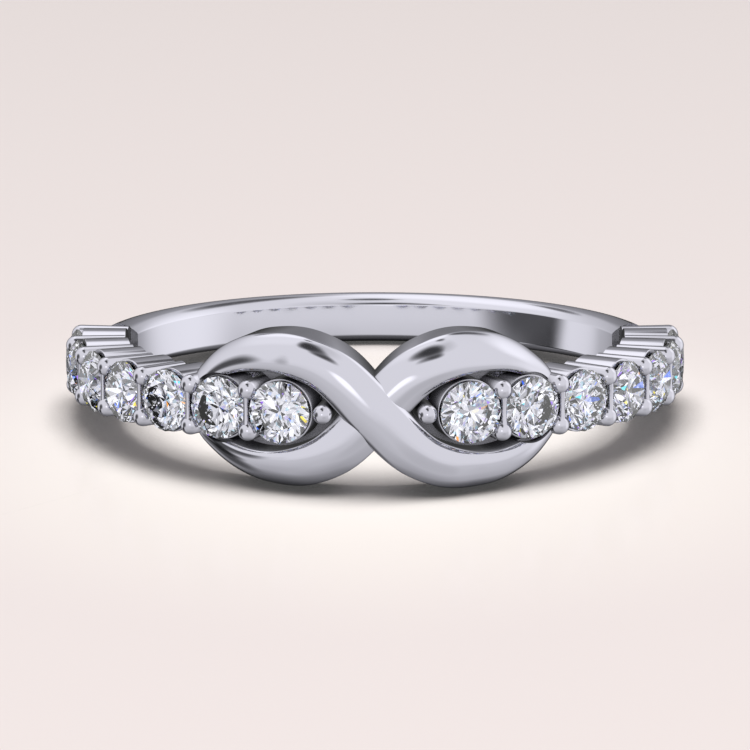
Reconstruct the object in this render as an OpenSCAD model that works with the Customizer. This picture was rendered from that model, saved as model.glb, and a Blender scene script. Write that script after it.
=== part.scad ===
// Infinity ring in white gold: a plain shank, two claw-set rows of round brilliants and a
// figure-eight knot whose loops each hold the first stone of a row.
// Millimetres. The origin is the centre of the finger hole, +X is to the wearer's right and
// the knot is at the front (-Y). The ring lies on its side as it comes to rest on a table:
// on the two loops of the knot and the back of the shank, so its axis leans a little from +Z.

/* [Finger hole] */
// Inside diameter, a US size 6
bore_d = 16.5; // [15:0.1:19]

/* [Stones] */
// Diameter of each round brilliant
stone_d = 2.0; // [1.7:0.05:2.3]
// Space between the girdles of two neighbours
stone_gap = 0.13; // [0.1:0.01:0.2]
// Height of the girdles above the finger hole
girdle_rise = 1.62; // [1.5:0.02:1.7]
// Diameter of the table
table_d = 1.14; // [0.9:0.02:1.3]
// Height of the crown
crown_h = 0.3; // [0.22:0.01:0.36]
// Thickness of the girdle
girdle_t = 0.06; // [0.02:0.01:0.08]
// Depth of the pavilion
pavilion_h = 0.86; // [0.7:0.01:0.95]

/* [Settings] */
// Air between a stone and its seat
seat_gap = 0.03; // [0.02:0.005:0.04]
// How far a collet reaches past its stone, all round
collet_lip = 0.035; // [0.02:0.005:0.04]
// Depth of the collets' rims below the girdles
rim_drop = 0.2; // [0.15:0.01:0.3]
// Diameter of the hole behind each stone
light_hole_d = 1.0; // [0.7:0.05:1.1]
// Diameter of the wire that each prong is made of
prong_d = 0.58; // [0.54:0.01:0.62]
// Height above the girdles where a prong's round tip starts
tip_rise = 0.04; // [0.02:0.01:0.08]
// How far a prong reaches over the edge of its stones
prong_bite = 0.025; // [0.01:0.005:0.03]
// Diameter of the bar between the upper and lower prong of a pair
bar_d = 0.2; // [0.16:0.01:0.22]
// Height of the bars' middles above the girdles
bar_rise = 0.15; // [0.14:0.01:0.18]
// Space between the first collet and the prong in the corner of its loop
corner_gap = 0.08; // [0.02:0.01:0.1]

/* [Knot] */
// Distance from the crossing to the first stone, along the girdles' circle
loop_reach = 3.075; // [2.9:0.025:3.3]
// Width of a strand at the top of its loop
strand_w = 1.2; // [1:0.05:1.4]
// Space between the first collet and the top of its loop
loop_gap = 0.25; // [0.15:0.01:0.3]
// Height of the strands' inner edges above the finger hole
knot_rise = 1.7; // [1.55:0.05:1.9]
// Height of a strand's crown above its edges, at the top of its loop
strand_crown = 0.33; // [0.2:0.01:0.4]
// How far the outer wall of a strand leans in towards its edge
wall_lean = 0.05; // [0:0.01:0.1]
// Thickness of the plate behind the openings of the loops
plate_t = 0.5; // [0.4:0.05:0.6]
// Width of the plate
plate_w = 2.8; // [2.6:0.05:3]

/* [Shank] */
// Width of the shank across its crest
shank_w = 1.7; // [1.5:0.05:1.9]
// Height of the crest above the finger hole
crest_rise = 0.64; // [0.5:0.02:0.75]
// Thickness of the shank
shank_t = 1.6; // [1.45:0.05:1.8]
// Length of the neck between the last prongs and the shank
neck_l = 1.2; // [0.8:0.1:1.6]
// Width of the neck
neck_w = 1.1; // [0.9:0.05:1.3]
// Thickness of the neck
neck_t = 1.0; // [0.8:0.05:1.2]
// How far the neck stands back from the finger hole
neck_rise = 0.3; // [0.2:0.05:0.4]

/* [Hidden] */
$fn = 64;

stones_per_side = 7;
girdle_facets = 16;
white_gold = "#d3d3de";
diamond = "#eef4fb";

bore_r = bore_d / 2;
stone_r = stone_d / 2;
girdle_r = bore_r + girdle_rise;
tip_r = girdle_r + tip_rise;
half_pitch = asin((stone_r + stone_gap / 2) / girdle_r);
first_angle = loop_reach / girdle_r * 180 / PI;
last_prong_angle = first_angle + (2 * stones_per_side - 1) * half_pitch;

// A prong holds two stones, so its height follows from its distance to their axes
prong_z = sqrt(pow(stone_r + prong_d / 2 - prong_bite, 2) - pow(tip_r * sin(half_pitch), 2));

collet_r = stone_r + collet_lip;
rim_r = girdle_r - rim_drop;
corner_distance = collet_r + corner_gap + prong_d / 2;
corner_angle = first_angle - asin(corner_distance / tip_r);

// Half the outline of what a stone's seat takes from the metal, with the girdle at height 0:
// the hole behind the stone, a cone under its pavilion and either open air or a cone over
// its crown
seat_r = stone_r + seat_gap;
hole_r = light_hole_d / 2;
seat_depth = girdle_t / 2 + seat_gap;
cut_reach = girdle_r / 2;
under_slope = pavilion_h / stone_r;
over_slope = crown_h / (stone_r - table_d / 2);
below_stone = [
    [0, -cut_reach],
    [hole_r, -cut_reach],
    [hole_r, -seat_depth - (seat_r - hole_r) * under_slope],
    [seat_r, -seat_depth]
];
open_above = [[seat_r, cut_reach], [0, cut_reach]];
crown_above = [[seat_r, seat_depth], [hole_r, seat_depth + (seat_r - hole_r) * over_slope],
    [0, seat_depth + (seat_r - hole_r) * over_slope]];

// Stone: the crown's and pavilion's middle rings, as shares of the stone's radius
star_share = 0.79;
lower_share = 0.24;
facet_step = 360 / girdle_facets;

// Shank: exponent of its rounded section, and the sides of its outline
section_power = 1.6;
section_sides = 40;
crest_r = bore_r + crest_rise;
section_reach = shank_t - crest_rise;
neck_angle = neck_l / crest_r * 180 / PI;

// Strands, from the crossing to the tip of a loop. The columns are shares of: the angle of the
// tip, the height of the strand's middle at the top of the loop, the strand's width there, then
// of knot_rise for the outer and inner edge of the upper strand and of the lower one, and last
// of wall_lean
STRAND = [
    [0.000, 0.000, 1.37, 1.00, 1.00, 0.80, 0.80, 0.00],
    [0.069, 0.238, 1.37, 0.98, 1.00, 0.79, 0.82, 0.00],
    [0.138, 0.476, 1.34, 0.96, 1.00, 0.77, 0.86, 0.00],
    [0.198, 0.646, 1.29, 0.94, 1.00, 0.74, 0.91, 0.00],
    [0.261, 0.778, 1.22, 0.92, 1.00, 0.70, 0.96, 0.00],
    [0.330, 0.878, 1.17, 0.90, 1.00, 0.67, 0.99, 0.05],
    [0.413, 0.958, 1.12, 0.85, 1.00, 0.61, 1.00, 0.20],
    [0.495, 0.997, 1.06, 0.75, 1.00, 0.52, 1.00, 0.45],
    [0.578, 1.000, 1.00, 0.72, 1.00, 0.48, 0.99, 0.65],
    [0.660, 0.974, 0.96, 0.69, 0.99, 0.46, 0.96, 0.83],
    [0.743, 0.908, 0.90, 0.66, 0.97, 0.46, 0.92, 0.95],
    [0.825, 0.803, 0.83, 0.64, 0.95, 0.47, 0.88, 1.00],
    [0.890, 0.682, 0.75, 0.63, 0.92, 0.50, 0.84, 0.90],
    [0.938, 0.551, 0.69, 0.63, 0.89, 0.56, 0.80, 0.60],
    [0.975, 0.400, 0.60, 0.66, 0.86, 0.62, 0.76, 0.20],
    [0.985, 0.240, 0.52, 0.66, 0.82, 0.66, 0.72, 0.00]
];
REACH = 0;
HEIGHT = 1;
WIDTH = 2;
UPPER_EDGE = 3;
LOWER_EDGE = 5;
LEAN = 7;
tip_angle = first_angle + 3 * half_pitch;
loop_middle = collet_r + loop_gap + strand_w / 2;
root_depth = 0.25;
strand_root = bore_r - root_depth;
crown_steps = 8;
crown_power = 2.4;
tilt_limit = 20;
tilt_steps = 24;
ring_points = crown_steps + 3;
arc_per_degree = girdle_r * PI / 180;
last_row = len(STRAND) - 1;

// Back plate: its start as a share of the way to the first stone, and its end past that stone
// in half pitches
plate_from = 0.33;
plate_to = 1.8;

// Point of the ring at an angle from the front, a radius and a height
function on_ring(angle, radius, height) = [radius * sin(angle), -radius * cos(angle), height];

function mix(a, b, t) = a + (b - a) * t;

// Row i of a strand, which runs from -last_row at one tip through the crossing to last_row
function row(i) = STRAND[abs(i)];
function side_of(i) = i < 0 ? -1 : 1;
function middle(i) = [side_of(i) * row(i)[REACH] * tip_angle * arc_per_degree,
                      side_of(i) * row(i)[HEIGHT] * loop_middle];
function heading(i) =
    let (a = middle(max(i - 1, -last_row)), b = middle(min(i + 1, last_row)))
    (b - a) / norm(b - a);

// Across a strand, t runs from -1 on its left edge to 1 on its right edge. The edge on the
// outside of the loop changes side at the crossing.
function edge_rise(i, t, column) =
    let (outer = row(i)[column], inner = row(i)[column + 1])
    mix(outer, inner, (1 + side_of(i) * t) / 2) * knot_rise;
function crown_rise(i, t) = strand_crown * row(i)[WIDTH] * (1 - pow(abs(t), crown_power));
function strand_point(i, offset, radius) =
    let (along = heading(i),
         place = middle(i) + offset * [along[1], -along[0]])
    on_ring(place[0] / arc_per_degree, radius, place[1]);
function half_width(i) = row(i)[WIDTH] * strand_w / 2;
function strand_section(i, column) = concat(
    [strand_point(i, -half_width(i), strand_root)],
    [for (j = [0 : crown_steps])
        let (t = 2 * j / crown_steps - 1,
             lean = side_of(i) * t < 0 ? row(i)[LEAN] * wall_lean : 0)
        strand_point(i, t * (half_width(i) - lean),
            bore_r + edge_rise(i, t, column) + crown_rise(i, t))],
    [strand_point(i, half_width(i), strand_root)]);

// The lowest points of the knot and of the shank, as [towards the front, downwards]
function curved(x) = sign(x) * pow(abs(x), 2 / section_power);
function section_radius(a) = crest_r + section_reach * curved(cos(a));
function section_height(a) = shank_w / 2 * curved(sin(a));
knot_feet = [for (i = [1 : last_row])
    let (foot = strand_point(i, -half_width(i), bore_r))
    [-foot[1], foot[2]]];
shank_feet = [for (j = [0 : section_sides])
    let (a = j * 360 / section_sides)
    [-section_radius(a), section_height(a)]];
function depth(points, tilt) = max([for (p = points) p[1] * cos(tilt) - p[0] * sin(tilt)]);

// The tilt at which the loops and the back of the shank are equally deep, by halving
function rest_tilt(low, high, steps) =
    let (half = (low + high) / 2)
    steps == 0 ? half
        : depth(knot_feet, half) > depth(shank_feet, half) ? rest_tilt(half, high, steps - 1)
        : rest_tilt(low, half, steps - 1);
tilt = rest_tilt(0, tilt_limit, tilt_steps);

module lean() {
    rotate([-tilt, 0, 0]) children();
}

// Turns what is built at the front, pointing outwards along +Z, to its place on the ring
module set_at(angle, radius, height = 0) {
    rotate([0, 0, angle]) translate([0, -radius, height]) rotate([90, 0, 0]) children();
}

module shank() {
    start = last_prong_angle + neck_angle;
    rotate([0, 0, start - 90])
        rotate_extrude(angle = 360 - 2 * start)
            polygon([for (j = [0 : section_sides - 1])
                let (a = j * 360 / section_sides)
                [section_radius(a), section_height(a)]]);
}

module neck(side) {
    swept = neck_angle + 2 * half_pitch;
    start = side > 0 ? last_prong_angle - half_pitch : -last_prong_angle - neck_angle - half_pitch;
    rotate([0, 0, start - 90])
        rotate_extrude(angle = swept)
            translate([bore_r + neck_rise, -neck_w / 2])
                square([neck_t, neck_w]);
}

module collet(angle) {
    set_at(angle, strand_root) cylinder(h = rim_r - strand_root, r = collet_r);
}

module seat_cuts(above) {
    for (side = [-1, 1], k = [0 : stones_per_side - 1])
        set_at(side * (first_angle + 2 * k * half_pitch), girdle_r)
            rotate_extrude() polygon(concat(below_stone, above));
}

module prong(angle, height) {
    base = tip_r - strand_root;
    set_at(angle, strand_root, height)
        rotate_extrude()
            intersection() {
                square([prong_d, base + prong_d]);
                union() {
                    square([prong_d / 2, base]);
                    translate([0, base]) circle(d = prong_d);
                }
            }
}

module prong_pair(angle) {
    prong(angle, prong_z);
    prong(angle, -prong_z);
    rotate([0, 0, angle]) translate([0, -girdle_r - bar_rise, 0])
        cylinder(h = 2 * prong_z - prong_d / 2, d = bar_d, center = true);
}

module strand(column) {
    rows = 2 * last_row;
    points = [for (i = [-last_row : last_row]) each strand_section(i, column)];
    sides = [for (i = [0 : rows - 1], j = [0 : ring_points - 1])
        let (a = i * ring_points + j,
             b = i * ring_points + (j + 1) % ring_points,
             c = a + ring_points,
             d = b + ring_points)
        each [[a, d, b], [a, c, d]]];
    near_end = [for (j = [1 : ring_points - 2]) [0, j, j + 1]];
    far_end = [for (j = [1 : ring_points - 2])
        [rows * ring_points, rows * ring_points + j + 1, rows * ring_points + j]];
    polyhedron(points = points, faces = concat(sides, near_end, far_end), convexity = 8);
}

// The plate that closes a loop from behind, from under the strands at the corner to those
// at the second stone. Its root lies halfway between the strands' and the finger hole.
module back_plate(side) {
    from = plate_from * first_angle;
    to = first_angle + plate_to * half_pitch;
    root = bore_r - root_depth / 2;
    rotate([0, 0, (side > 0 ? from : -to) - 90])
        rotate_extrude(angle = to - from)
            translate([root, -plate_w / 2])
                square([bore_r + plate_t - root, plate_w]);
}

module knot() {
    for (side = [-1, 1])
        back_plate(side);
    strand(LOWER_EDGE);
    mirror([1, 0, 0]) strand(UPPER_EDGE);
}

module settings() {
    difference() {
        union() {
            for (side = [-1, 1], k = [0 : stones_per_side - 1])
                collet(side * (first_angle + 2 * k * half_pitch));
            for (side = [-1, 1])
                neck(side);
            knot();
        }
        seat_cuts(open_above);
    }
    difference() {
        for (side = [-1, 1]) {
            prong(side * corner_angle, 0);
            for (k = [0 : stones_per_side - 1])
                prong_pair(side * (first_angle + (2 * k + 1) * half_pitch));
        }
        seat_cuts(crown_above);
    }
}

// The one casting: shank, necks, collets, prongs and knot, bored for the finger
module band() {
    color(white_gold) lean() difference() {
        union() {
            shank();
            settings();
        }
        cylinder(h = 4 * loop_middle, r = bore_r, center = true);
    }
}

function ring_of(count, radius, height, turn) =
    [for (i = [0 : count - 1])
        [radius * cos(i * 360 / count + turn), radius * sin(i * 360 / count + turn), height]];

// A round brilliant with its girdle on z = 0 and its table upwards. Its rings of points, in
// order: table, star tips, top of the girdle, bottom of the girdle, lower halves, culet.
module brilliant() {
    mains = girdle_facets / 2;
    table_r = table_d / 2;
    star_r = star_share * stone_r;
    star_z = girdle_t / 2 + crown_h * (stone_r - star_r * cos(facet_step)) / (stone_r - table_r);
    lower_r = lower_share * stone_r;
    lower_z = -girdle_t / 2 - pavilion_h * (1 - lower_r * cos(facet_step) / stone_r);
    star = mains;
    top = 2 * mains;
    bottom = top + girdle_facets;
    lower = bottom + girdle_facets;
    culet = lower + mains;
    points = concat(
        ring_of(mains, table_r, girdle_t / 2 + crown_h, 0),
        ring_of(mains, star_r, star_z, facet_step),
        ring_of(girdle_facets, stone_r, girdle_t / 2, 0),
        ring_of(girdle_facets, stone_r, -girdle_t / 2, 0),
        ring_of(mains, lower_r, lower_z, facet_step),
        [[0, 0, -girdle_t / 2 - pavilion_h]]);
    table = [for (i = [0 : mains - 1]) mains - 1 - i];
    crown = [for (i = [0 : mains - 1])
        let (next = (i + 1) % mains, last = (i + mains - 1) % mains,
             g = 2 * i, after = (g + 1) % girdle_facets, before = (g + girdle_facets - 1) % girdle_facets)
        each [
            [i, next, star + i],
            [i, star + i, top + g, star + last],
            [star + i, top + after, top + g],
            [star + last, top + g, top + before]
        ]];
    girdle = [for (g = [0 : girdle_facets - 1])
        let (next = (g + 1) % girdle_facets)
        [top + g, top + next, bottom + next, bottom + g]];
    pavilion = [for (i = [0 : mains - 1])
        let (last = (i + mains - 1) % mains,
             g = 2 * i, after = (g + 1) % girdle_facets, before = (g + girdle_facets - 1) % girdle_facets)
        each [
            [culet, lower + last, bottom + g, lower + i],
            [lower + i, bottom + g, bottom + after],
            [lower + last, bottom + before, bottom + g]
        ]];
    polyhedron(points = points, faces = concat([table], crown, girdle, pavilion), convexity = 2);
}

// Stone k of a row, counted from the knot
module stone(side, k) {
    color(diamond) lean()
        set_at(side * (first_angle + 2 * (k - 1) * half_pitch), girdle_r) brilliant();
}

band();
stone(-1, 1);  // stone_left_1
stone(-1, 2);  // stone_left_2
stone(-1, 3);  // stone_left_3
stone(-1, 4);  // stone_left_4
stone(-1, 5);  // stone_left_5
stone(-1, 6);  // stone_left_6
stone(-1, 7);  // stone_left_7
stone(1, 1);  // stone_right_1
stone(1, 2);  // stone_right_2
stone(1, 3);  // stone_right_3
stone(1, 4);  // stone_right_4
stone(1, 5);  // stone_right_5
stone(1, 6);  // stone_right_6
stone(1, 7);  // stone_right_7
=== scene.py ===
"""Infinity ring in polished white gold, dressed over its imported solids.

Sizes are in millimetres and angles in degrees. Every piece is built in the ring's own frame,
where the finger hole's axis is Z and the knot is at the front (-Y), and is leaned last, to
the way the ring lies on a table.
"""

import logging
import math
from collections.abc import Sequence
from dataclasses import dataclass, field
from enum import Enum
from itertools import accumulate

import bmesh
import bpy
import numpy as np
from mathutils import Matrix, Vector


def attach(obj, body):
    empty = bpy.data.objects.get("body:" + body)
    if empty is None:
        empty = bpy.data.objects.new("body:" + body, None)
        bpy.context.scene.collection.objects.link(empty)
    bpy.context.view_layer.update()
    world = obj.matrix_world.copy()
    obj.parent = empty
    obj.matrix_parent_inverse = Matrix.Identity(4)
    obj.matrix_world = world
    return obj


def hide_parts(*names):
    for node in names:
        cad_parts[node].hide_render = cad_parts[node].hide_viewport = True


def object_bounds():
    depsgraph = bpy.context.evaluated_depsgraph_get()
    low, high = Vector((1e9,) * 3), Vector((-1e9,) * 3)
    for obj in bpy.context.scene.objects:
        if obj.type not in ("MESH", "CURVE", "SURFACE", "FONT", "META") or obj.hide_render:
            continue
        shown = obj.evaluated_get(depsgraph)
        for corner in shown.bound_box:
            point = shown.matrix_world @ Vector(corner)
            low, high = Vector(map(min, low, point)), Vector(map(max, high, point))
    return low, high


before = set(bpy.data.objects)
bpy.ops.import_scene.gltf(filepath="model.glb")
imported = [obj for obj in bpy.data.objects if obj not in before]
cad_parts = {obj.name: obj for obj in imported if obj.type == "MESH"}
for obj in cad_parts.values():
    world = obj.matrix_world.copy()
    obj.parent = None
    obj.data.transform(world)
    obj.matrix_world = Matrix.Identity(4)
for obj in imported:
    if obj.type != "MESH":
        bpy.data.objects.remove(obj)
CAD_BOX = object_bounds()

log = logging.getLogger("infinity_ring")

MM = 0.001
BODY = "root"
BAND = "band"


class Side(Enum):
    """A side of the ring, seen from the front."""

    LEFT = -1
    RIGHT = 1


class Slot(Enum):
    """The record's material slot for the metal, which this script doesn't use."""

    METAL = "white_gold"


@dataclass(frozen=True)
class RingSizes:
    """Sizes and angles that several parts of the ring share."""

    bore_r: float = 8.25
    girdle_rise: float = 1.62
    stone_r: float = 1.0
    stone_gap: float = 0.13
    loop_reach: float = 3.075
    stones_per_side: int = 7
    lean: float = 5.67259

    @property
    def girdle_r(self) -> float:
        """Radius of the circle through the girdles' middles."""
        return self.bore_r + self.girdle_rise

    @property
    def half_pitch(self) -> float:
        """Half the angle between two neighbouring stones."""
        return math.degrees(math.asin((self.stone_r + self.stone_gap / 2) / self.girdle_r))

    @property
    def first_angle(self) -> float:
        """Angle of the first stone from the front."""
        return math.degrees(self.loop_reach / self.girdle_r)

    @property
    def last_prong_angle(self) -> float:
        """Angle of the last pair of prongs from the front."""
        return self.first_angle + (2 * self.stones_per_side - 1) * self.half_pitch

    @property
    def mm_per_degree(self) -> float:
        """Length of a degree along the circle through the girdles' middles."""
        return math.radians(1) * self.girdle_r


SIZES = RingSizes()


def on_ring(angle: np.ndarray, radius: np.ndarray, height: np.ndarray) -> np.ndarray:
    """Points of the ring by their angle from the front, radius and height.

    Args:
        angle: angles in degrees, positive to the right of the knot.
        radius: distances from the finger hole's axis.
        height: distances along that axis.

    Returns:
        The points, with x, y and z along the last axis.
    """
    turn = np.radians(angle)
    return np.stack(np.broadcast_arrays(radius * np.sin(turn), -radius * np.cos(turn), height), -1)


def smooth_through(knots: np.ndarray, values: np.ndarray, at: np.ndarray) -> np.ndarray:
    """Natural cubic spline through rows of values.

    Args:
        knots: rising places of the rows.
        values: one row of numbers for each knot.
        at: places to read the spline at.

    Returns:
        One row of numbers for each place.
    """
    gaps = np.diff(knots)[:, None]
    slopes = np.diff(values, axis=0) / gaps
    system = np.eye(len(knots))
    right = np.zeros_like(values)
    for i in range(1, len(knots) - 1):
        before, after = gaps[i - 1, 0], gaps[i, 0]
        system[i, i - 1:i + 2] = before, 2 * (before + after), after
        right[i] = 6 * (slopes[i] - slopes[i - 1])
    bend = np.linalg.solve(system, right)
    i = np.clip(np.searchsorted(knots, at) - 1, 0, len(knots) - 2)
    gap = gaps[i]
    b = (at[:, None] - knots[i][:, None]) / gap
    a = 1 - b
    return (a * values[i] + b * values[i + 1]
            + ((a ** 3 - a) * bend[i] + (b ** 3 - b) * bend[i + 1]) * gap ** 2 / 6)


def arc_between(start: np.ndarray, corner: np.ndarray, end: np.ndarray, steps: int) -> np.ndarray:
    """Rounds a corner with a curve that leaves start and reaches end along the corner's sides.

    Args:
        start: points before the corner, one row for each section.
        corner: the corners themselves.
        end: points after the corner.
        steps: number of steps along the curve.

    Returns:
        Points of shape (sections, steps + 1, coordinates).
    """
    t = np.linspace(0, 1, steps + 1)[None, :, None]
    start, corner, end = (p[:, None, :] for p in (start, corner, end))
    return (1 - t) ** 2 * start + 2 * t * (1 - t) * corner + t ** 2 * end


def skin(name: str, rings: np.ndarray, closed: bool = False) -> bpy.types.Mesh:
    """Skins a row of rings of points with smooth quads and closes its ends.

    Args:
        name: name of the mesh.
        rings: points in millimetres, of shape (rings, points round a ring, 3).
        closed: True if the last ring joins the first, as in a tube bent to a circle.

    Returns:
        A closed mesh in metres whose faces point outwards.
    """
    count, around, _ = rings.shape
    mesh = bmesh.new()
    verts = [mesh.verts.new(p) for p in (rings * MM).reshape(-1, 3)]
    for i in range(count if closed else count - 1):
        a, b = i * around, (i + 1) % count * around
        for j in range(around):
            k = (j + 1) % around
            mesh.faces.new((verts[a + j], verts[a + k], verts[b + k], verts[b + j]))
    if not closed:
        mesh.faces.new(verts[:around])
        mesh.faces.new(verts[-around:])
    bmesh.ops.remove_doubles(mesh, verts=mesh.verts, dist=1e-8)
    bmesh.ops.recalc_face_normals(mesh, faces=mesh.faces)
    made = bpy.data.meshes.new(name)
    mesh.to_mesh(made)
    mesh.free()
    return made


def joined(name: str, parts: Sequence[bpy.types.Mesh]) -> bpy.types.Mesh:
    """Puts several meshes into one and removes them.

    Args:
        name: name of the new mesh.
        parts: the meshes.

    Returns:
        The new mesh.
    """
    mesh = bmesh.new()
    for part in parts:
        mesh.from_mesh(part)
        bpy.data.meshes.remove(part)
    made = bpy.data.meshes.new(name)
    mesh.to_mesh(made)
    mesh.free()
    return made


def crisp(mesh: bpy.types.Mesh, angle: float = 40) -> bpy.types.Mesh:
    """Shades a mesh smooth, with its edges sharper than an angle kept sharp.

    Args:
        mesh: the mesh to shade.
        angle: the angle from which an edge stays sharp.

    Returns:
        The same mesh.
    """
    mesh.shade_smooth()
    mesh.set_sharp_from_angle(angle=math.radians(angle))
    return mesh


def baked(obj: bpy.types.Object) -> bpy.types.Mesh:
    """Turns an object with live modifiers into its plain mesh and drops the modifiers.

    Args:
        obj: the object, which gets the new mesh.

    Returns:
        The new mesh.
    """
    graph = bpy.context.evaluated_depsgraph_get()
    made = bpy.data.meshes.new_from_object(obj.evaluated_get(graph), depsgraph=graph)
    old = obj.data
    obj.modifiers.clear()
    obj.data = made
    made.name = obj.name
    if old.users == 0:
        bpy.data.meshes.remove(old)
    return made


def new_object(name: str, mesh: bpy.types.Mesh) -> bpy.types.Object:
    """Adds an object to the scene, at the origin.

    Args:
        name: the object's name.
        mesh: its mesh.

    Returns:
        The object.
    """
    obj = bpy.data.objects.new(name, mesh)
    bpy.context.scene.collection.objects.link(obj)
    return obj


def linear(hex_colour: str) -> tuple[float, float, float, float]:
    """Turns an sRGB hex colour into a linear one.

    Args:
        hex_colour: a colour such as "#d3d3de".

    Returns:
        Red, green, blue and an alpha of 1.
    """
    parts = [int(hex_colour[i:i + 2], 16) / 255 for i in (1, 3, 5)]
    red, green, blue = (c / 12.92 if c <= 0.04045 else ((c + 0.055) / 1.055) ** 2.4 for c in parts)
    return red, green, blue, 1.0


def add_node(tree: bpy.types.NodeTree, kind: str, inputs: dict | None = None,
             **settings: object) -> bpy.types.Node:
    """Adds a node, with its settings and what goes into it.

    Args:
        tree: the node tree.
        kind: the node's type.
        inputs: for each input, by name or number, a value or another node's output.
        **settings: the node's own settings.

    Returns:
        The node.
    """
    node = tree.nodes.new(kind)
    for name, value in settings.items():
        setattr(node, name, value)
    for name, value in (inputs or {}).items():
        if isinstance(value, bpy.types.NodeSocket):
            tree.links.new(value, node.inputs[name])
        else:
            node.inputs[name].default_value = value
    return node


def new_material(name: str) -> tuple[bpy.types.Material, bpy.types.NodeTree]:
    """Makes an empty material with nodes.

    Args:
        name: the material's name.

    Returns:
        The material and its node tree.
    """
    material = bpy.data.materials.new(name)
    material.use_nodes = True
    material.node_tree.nodes.clear()
    return material, material.node_tree


def finish_material(tree: bpy.types.NodeTree, shader: bpy.types.Node) -> None:
    """Joins a shader to the material's output.

    Args:
        tree: the material's node tree.
        shader: the shader.
    """
    add_node(tree, "ShaderNodeOutputMaterial", {"Surface": shader.outputs[0]})


def grey(level: float) -> tuple[float, float, float, float]:
    """A linear grey of a level, with an alpha of 1."""
    return level, level, level, 1.0


def mixed(tree: bpy.types.NodeTree, factor: bpy.types.NodeSocket, first: object,
          second: object) -> bpy.types.NodeSocket:
    """Mixes two colours.

    Args:
        tree: the node tree.
        factor: the output that holds the second colour's share.
        first: a linear colour, or the output that holds it.
        second: another one.

    Returns:
        The output that holds the mixed colour.
    """
    return add_node(tree, "ShaderNodeMix", {"Factor": factor, 6: first, 7: second},
                    data_type="RGBA").outputs[2]


def ramped(tree: bpy.types.NodeTree, share: bpy.types.NodeSocket,
           stops: Sequence[tuple[float, tuple[float, ...]]],
           interpolation: str) -> bpy.types.NodeSocket:
    """Turns a share into a colour.

    Args:
        tree: the node tree.
        share: the output that holds the share, from 0 to 1.
        stops: rising shares, each with its linear colour.
        interpolation: the kind of change from one stop to the next.

    Returns:
        The output that holds the colour.
    """
    ramp = add_node(tree, "ShaderNodeValToRGB", {"Fac": share})
    ramp.color_ramp.interpolation = interpolation
    elements = ramp.color_ramp.elements
    for i, (place, colour) in enumerate(stops):
        stop = elements[i] if i < 2 else elements.new(1.0)
        stop.position = place
        stop.color = colour
    return ramp.outputs["Color"]


def open_share(tree: bpy.types.NodeTree, reach_mm: float,
               limits: tuple[float, float]) -> bpy.types.NodeSocket:
    """How open a spot lies, from 0 in a closed corner to 1 in the open.

    Args:
        tree: the material's node tree.
        reach_mm: how far round the spot other faces count.
        limits: the free shares of its view that stand for 0 and 1.

    Returns:
        The output that holds it.
    """
    corner = add_node(tree, "ShaderNodeAmbientOcclusion", {"Distance": reach_mm * MM}, samples=8)
    return add_node(tree, "ShaderNodeMapRange", {
        "Value": corner.outputs["AO"], "From Min": limits[0],
        "From Max": limits[1]}).outputs["Result"]


@dataclass(frozen=True)
class PolishedWhiteGold:
    """18 carat white gold under rhodium plate, polished on a buffing wheel.

    The eye gets a cool grey mirror with a trace of haze and of the wheel's soft waviness.
    """

    colour: str = "#d9d8e3"
    haze: tuple[float, float] = (0.05, 0.1)
    # real buffing haze is finer than a pixel here, so its patches are drawn 0.5 mm wide
    haze_mm: float = 0.5
    haze_noise: tuple[float, float] = (0.35, 0.65)
    wave_mm: float = 1.6
    wave_depth_mm: float = 0.0012
    edge_tint: float = 0.35
    # painted shade: the metal's colour darkens to black in deep pockets and tight joints, where
    # little light gets in
    pocket_shade_mm: float = 1.0
    pocket_shade_open: tuple[float, float] = (0.06, 0.58)
    joint_shade_mm: float = 0.3
    joint_shade_open: tuple[float, float] = (0.06, 0.42)

    def material(self) -> bpy.types.Material:
        """Builds the metal's material."""
        material, tree = new_material("polished white gold")
        place = add_node(tree, "ShaderNodeTexCoord")
        patches = add_node(tree, "ShaderNodeTexNoise", {
            "Vector": place.outputs["Object"], "Scale": 1 / (self.haze_mm * MM), "Detail": 3.0})
        haze = add_node(tree, "ShaderNodeMapRange", {
            "Value": patches.outputs["Fac"], "From Min": self.haze_noise[0],
            "From Max": self.haze_noise[1], "To Min": self.haze[0], "To Max": self.haze[1]})
        wave = add_node(tree, "ShaderNodeTexNoise", {
            "Vector": place.outputs["Object"], "Scale": 1 / (self.wave_mm * MM), "Detail": 1.0})
        bump = add_node(tree, "ShaderNodeBump", {
            "Height": wave.outputs["Fac"], "Distance": self.wave_depth_mm * MM, "Strength": 1.0})
        # painted shade: the more closed in a spot lies, the darker its colour
        light = add_node(tree, "ShaderNodeMath", {
            0: open_share(tree, self.pocket_shade_mm, self.pocket_shade_open),
            1: open_share(tree, self.joint_shade_mm, self.joint_shade_open)}, operation="MULTIPLY")
        shader = add_node(tree, "ShaderNodeBsdfPrincipled", {
            "Base Color": mixed(tree, light.outputs[0], grey(0.0), linear(self.colour)),
            "Metallic": 1.0, "Specular Tint": grey(self.edge_tint),
            "Roughness": haze.outputs["Result"], "Normal": bump.outputs["Normal"]})
        finish_material(tree, shader)
        return material


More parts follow.
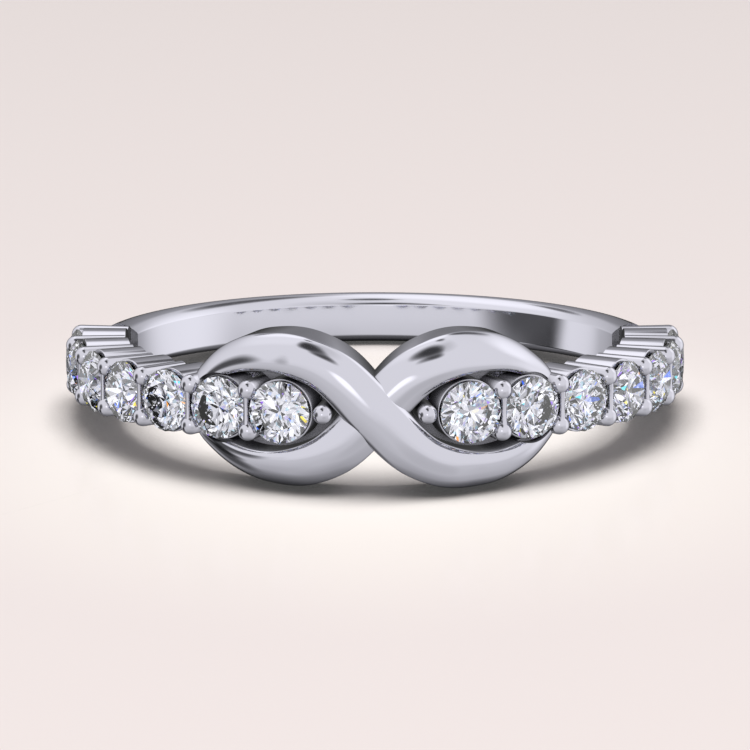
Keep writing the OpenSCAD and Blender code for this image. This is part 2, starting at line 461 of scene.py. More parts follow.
@dataclass(frozen=True)
class CutDiamond:
    """Round brilliant diamond, polished facet by facet.

    The eye gets white light thrown back between black facets, and flashes of single colours.
    """

    # painted fire: a few small cells of the stone's colour are tinted blue, cyan or violet to
    # stand for its coloured flashes
    flashes: tuple[str, ...] = ("#a9c4ff", "#b5f0ff", "#c9b6ff", "#ffffff")
    flash_share: float = 0.03
    flash_mm: float = 0.1
    refraction: float = 2.417

    def material(self) -> bpy.types.Material:
        """Builds the stones' material."""
        material, tree = new_material("cut diamond")
        place = add_node(tree, "ShaderNodeTexCoord")
        spots = add_node(tree, "ShaderNodeTexVoronoi", {
            "Vector": place.outputs["Object"], "Scale": 1 / (self.flash_mm * MM)})
        chance = add_node(tree, "ShaderNodeSeparateColor", {"Color": spots.outputs["Color"]})
        # painted fire tints on a few of the cells, white elsewhere
        colour = ramped(tree, chance.outputs[0], [
            (i * self.flash_share, linear(flash)) for i, flash in enumerate(self.flashes)],
            "CONSTANT")
        shader = add_node(tree, "ShaderNodeBsdfPrincipled", {
            "Base Color": colour, "Roughness": 0.0, "IOR": self.refraction,
            "Transmission Weight": 1.0})
        finish_material(tree, shader)
        return material


@dataclass(frozen=True)
class GlossyTable:
    """White lacquered table: pale and warm, with a faint reflection, and painted light and shadow
    by the ring.
    """

    # painted pool of light: the table's colour is lighter round a point in front of the ring
    painted_light_pool: str = "#fff9f4"
    rim: str = "#f1e8e7"
    inner_mm: float = 6.0
    outer_mm: float = 20.0
    pool_middle_mm: float = -5.0
    # painted shadow: the table's colour goes dark brown where the ring covers it closely
    painted_shadow_brown: str = "#2a211c"
    contact_mm: float = 3.5
    contact_open: tuple[float, float] = (0.1, 0.7)
    roughness: float = 0.2
    refraction: float = 1.45
    gloss: float = 0.12

    def material(self) -> bpy.types.Material:
        """Builds the table's material."""
        material, tree = new_material("white lacquer")
        place = add_node(tree, "ShaderNodeTexCoord")
        from_middle = add_node(tree, "ShaderNodeVectorMath", {
            0: place.outputs["Object"], 1: (0.0, self.pool_middle_mm * MM, 0.0)},
            operation="SUBTRACT")
        reach = add_node(tree, "ShaderNodeVectorMath", {0: from_middle.outputs[0]},
                         operation="LENGTH")
        fade = add_node(tree, "ShaderNodeMapRange", {
            "Value": reach.outputs["Value"], "From Min": self.inner_mm * MM,
            "From Max": self.outer_mm * MM}, interpolation_type="SMOOTHSTEP")
        # painted pool of light, fading out from that point
        colour = mixed(tree, fade.outputs["Result"], linear(self.painted_light_pool), linear(self.rim))
        # painted shadow in the table's colour where the ring covers it closely
        shader = add_node(tree, "ShaderNodeBsdfPrincipled", {
            "Base Color": mixed(tree, open_share(tree, self.contact_mm, self.contact_open),
                                linear(self.painted_shadow_brown), colour),
            "Roughness": self.roughness, "IOR": self.refraction,
            "Specular IOR Level": self.gloss})
        finish_material(tree, shader)
        return material


@dataclass
class Dresser:
    """Gives finished meshes their lean, their finish and their place in the frame."""

    sizes: RingSizes
    metal: bpy.types.Material

    def lean(self) -> Matrix:
        """The turn from the ring's own frame to the way it lies on the table."""
        return Matrix.Rotation(math.radians(-self.sizes.lean), 4, "X")

    def hand_in(self, name: str, mesh: bpy.types.Mesh) -> bpy.types.Object:
        """Makes a piece of the band from a mesh in the ring's own frame.

        Args:
            name: name of the piece.
            mesh: its mesh.

        Returns:
            The piece, leaned, dressed, and riding on the ring in the band's place.
        """
        mesh.transform(self.lean())
        if not mesh.materials:
            mesh.materials.append(self.metal)
        piece = new_object(name, mesh)
        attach(piece, BODY)
        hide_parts(BAND)
        # the metal mirrors the room instead of the ring, and the stones see it through their seats
        piece.visible_glossy = False
        piece.visible_transmission = name != "collets"
        log.info("%s: %d faces", name, len(mesh.polygons))
        return piece


@dataclass
class Seat:
    """The turned parts that hold a stone, at the front of the ring, and the tools to cut with."""

    sizes: RingSizes
    lip: float = 0.035
    air: float = 0.03
    cone_drop: float = 0.06
    rim_drop: float = 0.2
    rim_edge: float = 0.035
    light_hole_r: float = 0.5
    pavilion: float = 0.86
    relief: float = 0.1
    shelf_drop: float = 0.16
    shaft_r: float = 0.9
    # distances from the finger hole's axis between which a cutter cuts
    cut_from: float = 7.0
    cut_to: float = 12.0
    around: int = 96

    @property
    def outer_r(self) -> float:
        """Outside radius of a collet."""
        return self.sizes.stone_r + self.lip

    @property
    def rim_r(self) -> float:
        """Distance of a collet's rim from the finger hole's axis."""
        return self.sizes.girdle_r - self.rim_drop

    def cone_r(self, radius: float) -> float:
        """Radius of the cone under the stone, at a distance from the finger hole's axis."""
        slope = self.pavilion / self.sizes.stone_r
        return self.sizes.stone_r + self.air - (
            self.sizes.girdle_r - radius - self.cone_drop) / slope

    def turned(self, profile: Sequence[tuple[float, float]]) -> np.ndarray:
        """Turns a profile about the axis that points out at the front of the ring.

        Args:
            profile: distances from that axis and from the finger hole's axis. A distance of
                0 from the latter stands for the finger hole's wall.

        Returns:
            One ring of points for each point of the profile.
        """
        turn = np.linspace(0, 2 * np.pi, self.around, endpoint=False)
        rings = []
        for rho, radius in profile:
            x = rho * np.cos(turn)
            wall = np.sqrt(self.sizes.bore_r ** 2 - x ** 2) if radius == 0 else radius
            rings.append(np.stack([x, np.broadcast_to(-wall, x.shape), rho * np.sin(turn)], -1))
        return np.array(rings)

    def collet(self) -> bpy.types.Mesh:
        """The tube under a stone, with a rounded rim, the seat's cone and the light hole."""
        edge, rim = self.rim_edge, self.rim_r
        inner = self.cone_r(rim)
        turns = [math.radians(a) for a in range(0, 91, 15)]
        outside = [(self.outer_r - edge + edge * math.cos(a), rim - edge + edge * math.sin(a))
                   for a in turns]
        inside = [(inner + edge - edge * math.sin(a), rim - edge + edge * math.cos(a))
                  for a in turns]
        hole_top = self.sizes.girdle_r - self.cone_drop - (
            self.sizes.stone_r + self.air - self.light_hole_r) * self.pavilion / self.sizes.stone_r
        foot = np.linspace(self.light_hole_r, self.outer_r, 5)
        profile = [*outside, *inside, (self.cone_r(rim - 2 * edge), rim - 2 * edge),
                   (self.light_hole_r, hole_top), *((rho, 0) for rho in foot)]
        return crisp(skin("collet", self.turned(profile), closed=True), 50)

    def cutter(self, angle: float) -> bpy.types.Object:
        """What a seat takes from a strand that it stands in.

        Args:
            angle: the stone's angle from the front.

        Returns:
            An object in the ring's own frame, to cut with.
        """
        step, wide = self.rim_r - self.shelf_drop, self.outer_r + self.relief
        return self._tool("seat_cutter", angle, [
            (0.0, self.cut_from), (self.shaft_r, self.cut_from), (self.shaft_r, step),
            (wide, step), (wide, self.cut_to), (0.0, self.cut_to)])

    def light_hole(self, angle: float) -> bpy.types.Object:
        """The light hole under a stone, to cut with.

        Args:
            angle: the stone's angle from the front.

        Returns:
            An object in the ring's own frame.
        """
        return self._tool("light_hole", angle, [
            (0.0, self.cut_from), (self.light_hole_r, self.cut_from),
            (self.light_hole_r, self.cut_to), (0.0, self.cut_to)])

    def _tool(self, name: str, angle: float,
              profile: Sequence[tuple[float, float]]) -> bpy.types.Object:
        """Turns a profile into an object to cut with.

        Args:
            name: the object's name.
            angle: the stone's angle from the front.
            profile: as in turned.

        Returns:
            The object, in the ring's own frame.
        """
        mesh = skin(name, self.turned(profile))
        mesh.transform(Matrix.Rotation(math.radians(angle), 4, "Z"))
        return new_object(name, mesh)


@dataclass
class Prongs:
    """The round-tipped wires that hold the stones, and the bars between them."""

    sizes: RingSizes
    seat: Seat
    radius: float = 0.32
    corner_radius: float = 0.31
    tip_rise: float = 0.01
    bite: float = 0.07
    corner_gap: float = 0.08
    corner_wire_r: float = 0.29
    foot_rise: float = 0.02
    bar_r: float = 0.1
    bar_waist: float = 0.08
    bar_rise: float = 0.15
    around: int = 48

    @property
    def tip_r(self) -> float:
        """Distance from the finger hole's axis at which the round tips start."""
        return self.sizes.girdle_r + self.tip_rise

    @property
    def height(self) -> float:
        """Height of a prong above the ring's middle, so that it reaches both its stones."""
        reach = self.sizes.stone_r + self.radius - self.bite
        across = self.tip_r * math.sin(math.radians(self.sizes.half_pitch))
        return math.sqrt(reach ** 2 - across ** 2)

    @property
    def corner_angle(self) -> float:
        """Angle of the prong in the corner of a loop."""
        away = self.seat.outer_r + self.corner_gap + self.corner_wire_r
        return self.sizes.first_angle - math.degrees(math.asin(away / self.tip_r))

    def prong(self, radius: float, height: float) -> bpy.types.Mesh:
        """One prong at the front of the ring.

        Args:
            radius: radius of the wire and of its tip.
            height: its height above the ring's middle.

        Returns:
            The prong's mesh, from the finger hole's wall to its tip.
        """
        turn = np.linspace(0, 2 * np.pi, self.around, endpoint=False)
        foot_r = self.sizes.bore_r + self.foot_rise
        foot = -np.sqrt(foot_r ** 2 - (radius * np.cos(turn)) ** 2)
        rings = [np.stack([radius * np.cos(turn), foot, height + radius * np.sin(turn)], -1)]
        for a in np.radians(np.linspace(0, 90, 15)):
            rho, out = radius * math.cos(a), self.tip_r + radius * math.sin(a)
            rings.append(np.stack([rho * np.cos(turn), np.full_like(turn, -out),
                                   height + rho * np.sin(turn)], -1))
        return skin("prong", np.array(rings))

    def bar(self) -> bpy.types.Mesh:
        """The thin waisted bar between the two prongs of a pair."""
        turn = np.linspace(0, 2 * np.pi, 24, endpoint=False)
        rings = []
        for t in np.linspace(-1, 1, 13):
            rho = self.bar_waist + (self.bar_r - self.bar_waist) * t ** 2
            rings.append(np.stack([
                rho * np.cos(turn), -(self.sizes.girdle_r + self.bar_rise) + rho * np.sin(turn),
                np.full_like(turn, t * (self.height - self.radius / 2))], -1))
        return skin("bar", np.array(rings))

    def pair(self) -> bpy.types.Mesh:
        """Two prongs and their bar, at the front of the ring."""
        parts = [self.prong(self.radius, self.height), self.prong(self.radius, -self.height)]
        return crisp(joined("prong pair", [*parts, self.bar()]))

    def corner(self) -> bpy.types.Mesh:
        """The single prong that stands in the corner of a loop."""
        return crisp(self.prong(self.corner_radius, 0.0))


@dataclass
class RowMaker:
    """Geometry Nodes that repeat a piece along both rows of the ring."""

    sizes: RingSizes
    tree: bpy.types.NodeTree = field(init=False)

    def __post_init__(self) -> None:
        """Builds the node tree once for all rows."""
        self.tree = bpy.data.node_groups.new("both rows", "GeometryNodeTree")
        face = self.tree.interface
        for name, kind in (("Piece", "NodeSocketGeometry"), ("Pieces per side", "NodeSocketInt"),
                           ("First angle", "NodeSocketFloat"), ("Pitch", "NodeSocketFloat"),
                           ("Finish", "NodeSocketMaterial")):
            face.new_socket(name, in_out="INPUT", socket_type=kind)
        face.new_socket("Rows", in_out="OUTPUT", socket_type="NodeSocketGeometry")
        self._lay_out(add_node(self.tree, "NodeGroupInput"))

    def _maths(self, operation: str, first: object, second: object = 0.0) -> bpy.types.NodeSocket:
        """Adds a sum.

        Args:
            operation: the kind of sum.
            first: a number, or the output that holds it.
            second: another one.

        Returns:
            The output that holds the result.
        """
        return add_node(self.tree, "ShaderNodeMath", {0: first, 1: second},
                        operation=operation).outputs[0]

    def _lay_out(self, given: bpy.types.Node) -> None:
        """Adds the nodes that place, turn and dress the pieces."""
        tree, sums = self.tree, self._maths
        per_side = given.outputs["Pieces per side"]
        index = add_node(tree, "GeometryNodeInputIndex").outputs[0]
        row = sums("FLOOR", sums("DIVIDE", index, per_side))
        side = sums("SUBTRACT", 1.0, sums("MULTIPLY", row, 2.0))
        place = sums("SUBTRACT", index, sums("MULTIPLY", row, per_side))
        along = sums("ADD", given.outputs["First angle"],
                     sums("MULTIPLY", place, given.outputs["Pitch"]))
        turn = add_node(tree, "ShaderNodeCombineXYZ", {"Z": sums("MULTIPLY", side, along)})
        spots = add_node(tree, "GeometryNodeMeshLine", {
            "Count": sums("MULTIPLY", per_side, 2.0), "Offset": (0.0, 0.0, 0.0)})
        rows = add_node(tree, "GeometryNodeInstanceOnPoints", {
            "Points": spots.outputs[0], "Instance": given.outputs["Piece"],
            "Rotation": turn.outputs[0]})
        real = add_node(tree, "GeometryNodeRealizeInstances", {"Geometry": rows.outputs[0]})
        dressed = add_node(tree, "GeometryNodeSetMaterial", {
            "Geometry": real.outputs[0], "Material": given.outputs["Finish"]})
        add_node(tree, "NodeGroupOutput", {0: dressed.outputs[0]})

    def rows(self, name: str, mesh: bpy.types.Mesh, count: int, first: float,
             finish: bpy.types.Material) -> bpy.types.Mesh:
        """Repeats a mesh along both rows.

        Args:
            name: name of the result.
            mesh: the piece, at the front of the ring.
            count: how many stand on each side.
            first: angle of the first of them, in degrees.
            finish: their material.

        Returns:
            One plain mesh with all of them.
        """
        holder = new_object(name, mesh)
        modifier = holder.modifiers.new("rows", "NODES")
        modifier.node_group = self.tree
        given = {"Pieces per side": count, "First angle": math.radians(first),
                 "Pitch": math.radians(2 * self.sizes.half_pitch), "Finish": finish}
        for socket in self.tree.interface.items_tree:
            if socket.name in given:
                modifier[socket.identifier] = given[socket.name]
        made = baked(holder)
        bpy.data.objects.remove(holder)
        return made


# Strands, from the crossing to the tip of a loop. The columns are shares of: the angle of the
# tip, the height of the strand's middle at the top of the loop, the strand's width there, then
# of the knot's rise for the outer and inner edge of the upper strand and of the lower one, and
# last of the outer wall's lean
STRAND = np.array([
    [0.000, 0.000, 1.37, 1.00, 1.00, 0.80, 0.80, 0.00],
    [0.069, 0.238, 1.37, 0.98, 1.00, 0.79, 0.82, 0.00],
    [0.138, 0.476, 1.34, 0.96, 1.00, 0.77, 0.86, 0.00],
    [0.198, 0.646, 1.29, 0.94, 1.00, 0.74, 0.91, 0.00],
    [0.261, 0.778, 1.22, 0.92, 1.00, 0.70, 0.96, 0.00],
    [0.330, 0.878, 1.17, 0.90, 1.00, 0.67, 0.99, 0.05],
    [0.413, 0.958, 1.12, 0.85, 1.00, 0.61, 1.00, 0.20],
    [0.495, 0.997, 1.06, 0.75, 1.00, 0.52, 1.00, 0.45],
    [0.578, 1.000, 1.00, 0.72, 1.00, 0.48, 0.99, 0.65],
    [0.660, 0.974, 0.96, 0.69, 0.99, 0.46, 0.96, 0.83],
    [0.743, 0.908, 0.90, 0.66, 0.97, 0.46, 0.92, 0.95],
    [0.825, 0.803, 0.83, 0.64, 0.95, 0.47, 0.88, 1.00],
    [0.890, 0.682, 0.75, 0.63, 0.92, 0.50, 0.84, 0.90],
    [0.938, 0.551, 0.69, 0.63, 0.89, 0.56, 0.80, 0.60],
    [0.975, 0.400, 0.60, 0.66, 0.86, 0.62, 0.76, 0.20],
    [0.985, 0.240, 0.52, 0.66, 0.82, 0.66, 0.72, 0.00],
])


class Pass(Enum):
    """Which strand of the knot passes over: the value is the column of its outer edge."""

    OVER = 3
    UNDER = 5


@dataclass
class Knot:
    """The figure-eight knot: two crossing strands and the plates behind the loops."""

    sizes: RingSizes
    seat: Seat
    width: float = 1.2
    loop_gap: float = 0.242
    rise: float = 1.693
    crown: float = 0.33
    crown_power: float = 2.4
    wall_lean: float = 0.05
    inner_lip: float = 0.13
    outer_lip: float = 0.08
    lip_share: float = 0.4
    base_rise: float = 0.006
    plate_rise: float = 0.012
    plate_t: float = 0.5
    plate_w: float = 2.8
    # where the plates start and end: a share of the first stone's angle, and half pitches past it
    plate_from: float = 0.33
    plate_to: float = 1.8
    plate_steps: int = 40
    stations: int = 220
    crown_steps: int = 36
    lip_steps: int = 6

    @property
    def loop_middle(self) -> float:
        """Height of a strand's middle at the top of its loop."""
        return self.seat.outer_r + self.loop_gap + self.width / 2

    def _stations(self, strand: Pass) -> np.ndarray:
        """Reads the table along a strand, from one tip through the crossing to the other.

        Args:
            strand: which strand.

        Returns:
            For each station: place along the girdles' circle, height, half width, rise of the
            left and right edge, lean of the left and right wall.
        """
        size = self.sizes
        reach = (size.first_angle + 3 * size.half_pitch) * size.mm_per_degree
        rows = []
        for i in range(1 - len(STRAND), len(STRAND)):
            row, side = STRAND[abs(i)], -1 if i < 0 else 1
            outer, inner = row[strand.value] * self.rise, row[strand.value + 1] * self.rise
            edges = [outer, inner, row[7] * self.wall_lean, 0.0]
            if side < 0:
                edges = [inner, outer, 0.0, row[7] * self.wall_lean]
            rows.append([side * row[0] * reach, side * row[1] * self.loop_middle,
                         row[2] * self.width / 2, *edges])
        values = np.array(rows)
        steps = np.linalg.norm(np.diff(values[:, :2], axis=0), axis=1)
        knots = np.concatenate([[0], np.cumsum(steps)])
        return smooth_through(knots, values, np.linspace(0, knots[-1], self.stations))

    def strand(self, strand: Pass) -> bpy.types.Mesh:
        """One strand, with a crowned top and rounded lips.

        Args:
            strand: which strand.

        Returns:
            Its mesh, cut for the seats of the second stones.
        """
        table = self._stations(strand)
        middle, half = table[:, :2], table[:, 2]
        ahead = np.gradient(middle, axis=0)
        ahead /= np.linalg.norm(ahead, axis=1)[:, None]
        across = np.stack([ahead[:, 1], -ahead[:, 0]], -1)
        left, right = half - table[:, 5], half - table[:, 6]

        def top(t: np.ndarray) -> np.ndarray:
            """Offset and radius of the crown at shares across each section."""
            offset = np.where(t < 0, t * left[:, None], t * right[:, None])
            edge = table[:, 3:4] + (table[:, 4:5] - table[:, 3:4]) * (1 + t) / 2
            swell = self.crown * (2 * half / self.width)[:, None] * (
                1 - np.abs(t) ** self.crown_power)
            return np.stack([offset, self.sizes.bore_r + edge + swell], -1)

        outer_is_left = (np.arange(len(table)) >= len(table) / 2)
        lips = [np.where(outer_is_left, self.outer_lip, self.inner_lip),
                np.where(outer_is_left, self.inner_lip, self.outer_lip)]
        shares = [np.minimum(lip / half, self.lip_share) for lip in lips]
        t = (np.linspace(-1 + shares[0], 1 - shares[1], self.crown_steps + 1)).T
        crown = top(t)
        edge = np.ones_like(half)[:, None]
        edge_left, edge_right = top(-edge)[:, 0], top(edge)[:, 0]
        # from a crown's edge down its wall to where the lip's curve ends
        drops = [np.stack([np.zeros_like(lip), lip], -1) for lip in lips]
        rounded_left = arc_between(edge_left - drops[0], edge_left, crown[:, 0], self.lip_steps)
        rounded_right = arc_between(crown[:, -1], edge_right, edge_right - drops[1],
                                    self.lip_steps)
        feet = np.linspace(1, -1, 9)[None, :] * half[:, None]
        base = np.stack([feet, np.full_like(feet, self.sizes.bore_r + self.base_rise)], -1)
        outline = np.concatenate([rounded_left, crown[:, 1:-1], rounded_right, base], axis=1)
        place = middle[:, None, :] + outline[..., :1] * across[:, None, :]
        angle = place[..., 0] / self.sizes.mm_per_degree
        if strand is Pass.OVER:
            angle = -angle
        mesh = crisp(skin("strand", on_ring(angle, outline[..., 1], place[..., 1])))
        second = self.sizes.first_angle + 2 * self.sizes.half_pitch
        return self._cut(mesh, [self.seat.cutter(side.value * second) for side in Side])

    @staticmethod
    def _cut(mesh: bpy.types.Mesh, cutters: Sequence[bpy.types.Object]) -> bpy.types.Mesh:
        """Cuts a mesh with objects, and removes them.

        Args:
            mesh: the mesh, which is used up.
            cutters: the objects.

        Returns:
            What is left, as a new mesh.
        """
        holder = new_object(mesh.name, mesh)
        for cutter in cutters:
            cut = holder.modifiers.new("cut", "BOOLEAN")
            cut.operation, cut.solver, cut.object = "DIFFERENCE", "EXACT", cutter
        made = crisp(baked(holder))
        for spent in [holder, *cutters]:
            bpy.data.objects.remove(spent)
        return made

    def plates(self) -> bpy.types.Mesh:
        """The two plates that close the loops from behind."""
        start = self.plate_from * self.sizes.first_angle
        end = self.sizes.first_angle + self.plate_to * self.sizes.half_pitch
        corners = [(self.plate_rise, -1), (self.plate_t, -1), (self.plate_t, 1),
                   (self.plate_rise, 1)]
        parts = []
        for side in Side:
            rings = [on_ring(side.value * np.full(4, a),
                             self.sizes.bore_r + np.array([c[0] for c in corners]),
                             self.plate_w / 2 * np.array([c[1] for c in corners]))
                     for a in np.linspace(start, end, self.plate_steps)]
            parts.append(skin("plate", np.array(rings)))
        first = self.sizes.first_angle
        angles = (first, first + 2 * self.sizes.half_pitch)
        return self._cut(joined("loop plates", parts), [
            self.seat.light_hole(side.value * angle) for side in Side for angle in angles])


@dataclass
class Shank:
    """The plain back of the ring and the necks that join it to the rows."""

    sizes: RingSizes
    width: float = 1.7
    crest_rise: float = 0.64
    thickness: float = 1.594
    power: float = 1.6
    edge: float = 0.03
    neck_l: float = 1.2
    neck_w: float = 1.1
    neck_t: float = 1.0
    neck_rise: float = 0.3
    neck_edge: float = 0.1
    stations: int = 400
    neck_steps: int = 24
    around: int = 121
    edge_steps: int = 5

    @property
    def crest_r(self) -> float:
        """Distance of the crest from the finger hole's axis."""
        return self.sizes.bore_r + self.crest_rise

    @property
    def neck_angle(self) -> float:
        """Angle that the neck spans between the last prongs and the shank."""
        return math.degrees(self.neck_l / self.crest_r)

    def _outline(self) -> np.ndarray:
        """The shank's section, as radius and height, without the finger hole."""
        reach = self.thickness - self.crest_rise
        bore_at = math.degrees(math.acos((self.crest_rise / reach) ** (self.power / 2)))
        turn = np.radians(np.linspace(-180 + bore_at, 180 - bore_at, self.around))

        def curved(x: np.ndarray) -> np.ndarray:
            """Bends a sine or cosine to the section's fuller curve."""
            return np.sign(x) * np.abs(x) ** (2 / self.power)

        flank = np.stack([self.crest_r + reach * curved(np.cos(turn)),
                          self.width / 2 * curved(np.sin(turn))], -1)
        keep = flank[:, 0] > self.sizes.bore_r + self.edge
        inside = flank[keep]
        low, high = flank[:1], flank[-1:]
        wall = np.array([[0.0, self.edge]])
        start = arc_between(low + wall, low, inside[:1], self.edge_steps)[0][:-1]
        end = arc_between(inside[-1:], high, high - wall, self.edge_steps)[0][1:]
        return np.concatenate([start, inside, end])

    def shank(self) -> bpy.types.Mesh:
        """The plain back of the ring."""
        outline = self._outline()
        start = self.sizes.last_prong_angle + self.neck_angle
        rings = [on_ring(np.full(len(outline), a), outline[:, 0], outline[:, 1])
                 for a in np.linspace(start, 360 - start, self.stations)]
        return crisp(skin("shank", np.array(rings)))

    def necks(self) -> bpy.types.Mesh:
        """The two plain necks, rounded along their edges."""
        r0 = self.sizes.bore_r + self.neck_rise
        half, edge = self.neck_w / 2, self.neck_edge
        corners = [(r0 + edge, -half + edge, 180), (r0 + self.neck_t - edge, -half + edge, 270),
                   (r0 + self.neck_t - edge, half - edge, 0), (r0 + edge, half - edge, 90)]
        outline = np.array([(r + edge * math.cos(math.radians(first + a)),
                             z + edge * math.sin(math.radians(first + a)))
                            for r, z, first in corners for a in range(0, 91, 15)])
        start = self.sizes.last_prong_angle - self.sizes.half_pitch
        end = self.sizes.last_prong_angle + self.neck_angle + self.sizes.half_pitch
        parts = []
        for side in Side:
            rings = [on_ring(side.value * np.full(len(outline), a), outline[:, 0], outline[:, 1])
                     for a in np.linspace(start, end, self.neck_steps)]
            parts.append(skin("neck", np.array(rings)))
        return crisp(joined("necks", parts))


@dataclass(frozen=True)
class Patch:
    """A round lamp or black flag in the room, as the metal mirrors it.

    The azimuth runs from the front to the right, and inner and outer are the angles from its
    middle between which it fades.
    """

    azimuth: float
    elevation: float
    inner: float
    outer: float
    level: float

    def towards(self) -> tuple[float, float, float]:
        """The direction of its middle."""
        turn, rise = math.radians(self.azimuth), math.radians(self.elevation)
        return (math.sin(turn) * math.cos(rise), -math.cos(turn) * math.cos(rise),
                math.sin(rise))


ROOM = (
    Patch(180, -20, 12, 34, 0.1),
    Patch(-169, -67, 8, 35, 0.27),
    Patch(-119, -44, 3, 20, 0.1),
    Patch(-100, -30, 8, 20, 0.02),
    Patch(-88, -14, 5, 18, 0.03),
    Patch(-110, -12, 3, 20, 1.0),
    Patch(-75, 2, 6, 30, 0.1),
    Patch(180, 23, 12, 18, 0.54),
    Patch(128, 26, 12, 30, 1.3),
    Patch(-147, 59, 14, 33, 1.05),
    Patch(-165, 50, 6, 18, 1.35),
    Patch(-6, 13, 4, 12, 1.5),
    Patch(164, 43, 2, 11, 0.15),
    Patch(-160, 36, 1, 6, 0.25),
    Patch(178, 70, 1, 6, 0.17),
    Patch(4, 63, 1, 14, 0.1),
    Patch(-4, 76, 2, 14, 0.2),
    Patch(-45, 82, 4, 18, 0.06),
    Patch(22, -32, 6, 28, 0.62),
    Patch(104, -6, 4, 38, 1.1),
)


@dataclass
class Studio:
    """Table, lights and camera of a plain product photograph."""

    sizes: RingSizes
    table: GlossyTable
    floor_z: float
    lens_px: float = 6045.7
    frame_px: float = 750.0
    sensor_mm: float = 36.0
    clip_m: tuple[float, float] = (0.01, 20.0)
    distance: float = 200.0
    elevation: float = 10.08
    aim_drop: float = 0.46
    table_size: float = 6000.0
    # light levels by elevation, from straight down to straight up, as the metal mirrors them
    room_levels: tuple[tuple[float, float], ...] = (
        (-90, 0.42), (-65, 0.52), (-45, 0.65), (-25, 0.72), (-12, 0.74), (-3, 0.87),
        (10, 0.93), (65, 0.94), (90, 0.67))
    shade: str = "#5f5650"
    # fineness, shares and colours of the lamps and flags that are seen through the stones
    sparkle_scale: float = 8.0
    sparkles: tuple[tuple[float, tuple[float, float, float]], ...] = (
        (0.14, (0.0, 0.0, 0.0)), (0.12, (0.12, 0.12, 0.14)), (0.17, (0.5, 0.5, 0.57)),
        (0.32, (0.95, 0.95, 1.05)), (0.17, (1.4, 1.4, 1.5)), (0.025, (0.1, 0.3, 1.4)),
        (0.015, (0.1, 1.1, 1.3)), (0.02, (1.5, 0.6, 0.1)), (0.01, (1.4, 1.2, 0.1)),
        (0.01, (0.5, 0.2, 1.3)))
    softbox_place: tuple[float, float, float] = (0.0, -60.0, 400.0)
    softbox_size: float = 300.0
    softbox_watts: float = 1.8

    def floor(self) -> bpy.types.Object:
        """The table under the ring."""
        half = self.table_size / 2 * MM
        corners = [(-half, -half), (half, -half), (half, half), (-half, half)]
        mesh = bpy.data.meshes.new("table")
        mesh.from_pydata([(x, y, self.floor_z) for x, y in corners], [], [(0, 1, 2, 3)])
        mesh.materials.append(self.table.material())
        floor = new_object("table", mesh)
        floor.visible_glossy = False
        floor.visible_transmission = False
        return floor

    def camera(self) -> None:
        """The camera, at the photograph's angle to the ring."""
        data = bpy.data.cameras.new("camera")
        data.sensor_width = self.sensor_mm
        data.lens = self.lens_px / self.frame_px * data.sensor_width
        data.clip_start, data.clip_end = self.clip_m
        height = math.radians(self.elevation + self.sizes.lean)
        back = Vector((0.0, -math.cos(height), math.sin(height)))
        up = Vector((0.0, math.sin(height), math.cos(height)))
        camera = bpy.data.objects.new("camera", data)
        camera.location = (back * self.distance - up * self.aim_drop) * MM
        camera.rotation_euler = (-back).to_track_quat("-Z", "Y").to_euler()
        bpy.context.scene.collection.objects.link(camera)
        bpy.context.scene.camera = camera

    def softbox(self) -> None:
        """The square light over the table. The metal mirrors the room instead of it."""
        data = bpy.data.lights.new("top softbox", "AREA")
        data.shape = "SQUARE"
        data.size = self.softbox_size * MM
        data.energy = self.softbox_watts
        lamp = bpy.data.objects.new("top softbox", data)
        lamp.location = Vector(self.softbox_place) * MM
        lamp.rotation_euler = (-lamp.location).to_track_quat("-Z", "Y").to_euler()
        lamp.visible_glossy = False
        lamp.visible_transmission = False
        bpy.context.scene.collection.objects.link(lamp)

    def _mirrored_room(self, tree: bpy.types.NodeTree,
                       direction: bpy.types.NodeSocket) -> bpy.types.NodeSocket:
        """What the metal mirrors: levels by height, then lamps and flags.

        Args:
            tree: the world's node tree.
            direction: where a ray goes.

        Returns:
            The colour of the room in that direction.
        """
        height = add_node(tree, "ShaderNodeSeparateXYZ", {0: direction}).outputs["Z"]
        share = add_node(tree, "ShaderNodeMapRange", {"Value": height, "From Min": -1.0})
        colour = ramped(tree, share.outputs[0], [
            ((1 + math.sin(math.radians(elevation))) / 2, grey(level))
            for elevation, level in self.room_levels], "LINEAR")
        for patch in ROOM:
            closeness = add_node(tree, "ShaderNodeVectorMath", {
                0: direction, 1: patch.towards()}, operation="DOT_PRODUCT")
            share = add_node(tree, "ShaderNodeMapRange", {
                "Value": closeness.outputs["Value"],
                "From Min": math.cos(math.radians(patch.outer)),
                "From Max": math.cos(math.radians(patch.inner))},
                interpolation_type="SMOOTHSTEP")
            colour = mixed(tree, share.outputs["Result"], colour, grey(patch.level))
        return colour

    def _sparkling_room(self, tree: bpy.types.NodeTree,
                        direction: bpy.types.NodeSocket) -> bpy.types.NodeSocket:
        """What is seen through the stones: many small lamps and flags, a few of them coloured.

        Args:
            tree: the world's node tree.
            direction: where a ray goes.

        Returns:
            The colour of the room in that direction.
        """
        cells = add_node(tree, "ShaderNodeTexVoronoi", {
            "Vector": direction, "Scale": self.sparkle_scale})
        lot = add_node(tree, "ShaderNodeSeparateColor", {"Color": cells.outputs["Color"]})
        starts = accumulate((share for share, _ in self.sparkles), initial=0.0)
        return ramped(tree, lot.outputs[0], [
            (start, (*level, 1.0)) for start, (_, level) in zip(starts, self.sparkles)],
            "CONSTANT")

    def world(self) -> None:
        """The room: dim for the table, and lamps and flags for the metal and the stones."""
        world = bpy.data.worlds.new("room")
        world.use_nodes = True
        # the room differs from ray to ray, so it isn't sampled as one light
        world.cycles.sampling_method = "NONE"
        tree = world.node_tree
        tree.nodes.clear()
        direction = add_node(tree, "ShaderNodeTexCoord").outputs["Generated"]
        path = add_node(tree, "ShaderNodeLightPath")
        colour = mixed(tree, path.outputs["Is Glossy Ray"], linear(self.shade),
                       self._mirrored_room(tree, direction))
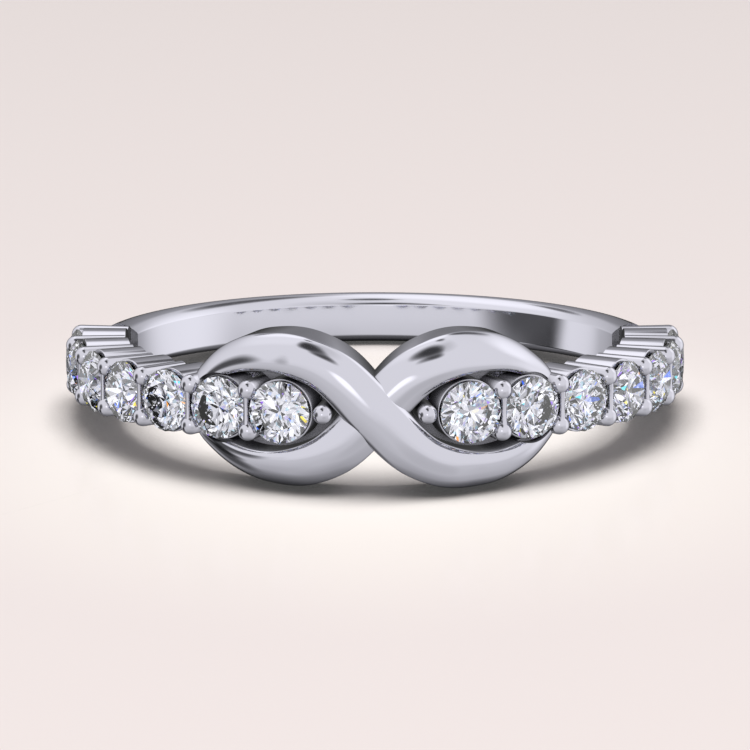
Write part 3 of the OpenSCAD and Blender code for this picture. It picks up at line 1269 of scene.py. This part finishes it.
        # a ray that leaves a stone has passed at least two of its faces
        passed = add_node(tree, "ShaderNodeMath", {
            0: path.outputs["Transmission Depth"], 1: 1.5}, operation="GREATER_THAN")
        through = add_node(tree, "ShaderNodeMath", {
            0: path.outputs["Is Transmission Ray"], 1: passed.outputs[0]}, operation="MULTIPLY")
        colour = mixed(tree, through.outputs[0], colour, self._sparkling_room(tree, direction))
        light = add_node(tree, "ShaderNodeBackground", {"Color": colour, "Strength": 1.0})
        add_node(tree, "ShaderNodeOutputWorld", {"Surface": light.outputs[0]})
        bpy.context.scene.world = world

    def build(self) -> None:
        """Sets up the whole studio."""
        self.camera()
        self.floor()
        self.world()
        self.softbox()
        bpy.context.scene.view_settings.view_transform = "Standard"


def dress_stones(finish: bpy.types.Material) -> None:
    """Gives each stone's solid its material and plain facets.

    Args:
        finish: the diamond.
    """
    for name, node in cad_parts.items():
        if not name.startswith("stone"):
            continue
        node.data.materials.clear()
        node.data.materials.append(finish)
        node.data.shade_flat()
        log.info("%s: %d triangles", name, len(node.data.polygons))


def main() -> None:
    """Builds the ring piece by piece, then the studio round it."""
    logging.basicConfig(level=logging.INFO, format="%(message)s")
    metal = PolishedWhiteGold().material()
    dresser = Dresser(SIZES, metal)
    seat = Seat(SIZES)
    prongs = Prongs(SIZES, seat)
    rows = RowMaker(SIZES)
    knot = Knot(SIZES, seat)
    shank = Shank(SIZES)
    per_side, first = SIZES.stones_per_side, SIZES.first_angle

    dresser.hand_in("shank", shank.shank())
    dresser.hand_in("necks", shank.necks())
    dresser.hand_in("knot_over", knot.strand(Pass.OVER))
    dresser.hand_in("knot_under", knot.strand(Pass.UNDER))
    dresser.hand_in("loop_plates", knot.plates())
    dresser.hand_in("collets", rows.rows("collets", seat.collet(), per_side, first, metal))
    dresser.hand_in("prongs", rows.rows(
        "prongs", prongs.pair(), per_side, first + SIZES.half_pitch, metal))
    dresser.hand_in("corner_prongs", rows.rows(
        "corner_prongs", prongs.corner(), 1, prongs.corner_angle, metal))
    dress_stones(CutDiamond().material())

    Studio(SIZES, GlossyTable(), floor_z=CAD_BOX[0].z).build()


if __name__ == "__main__":
    main()
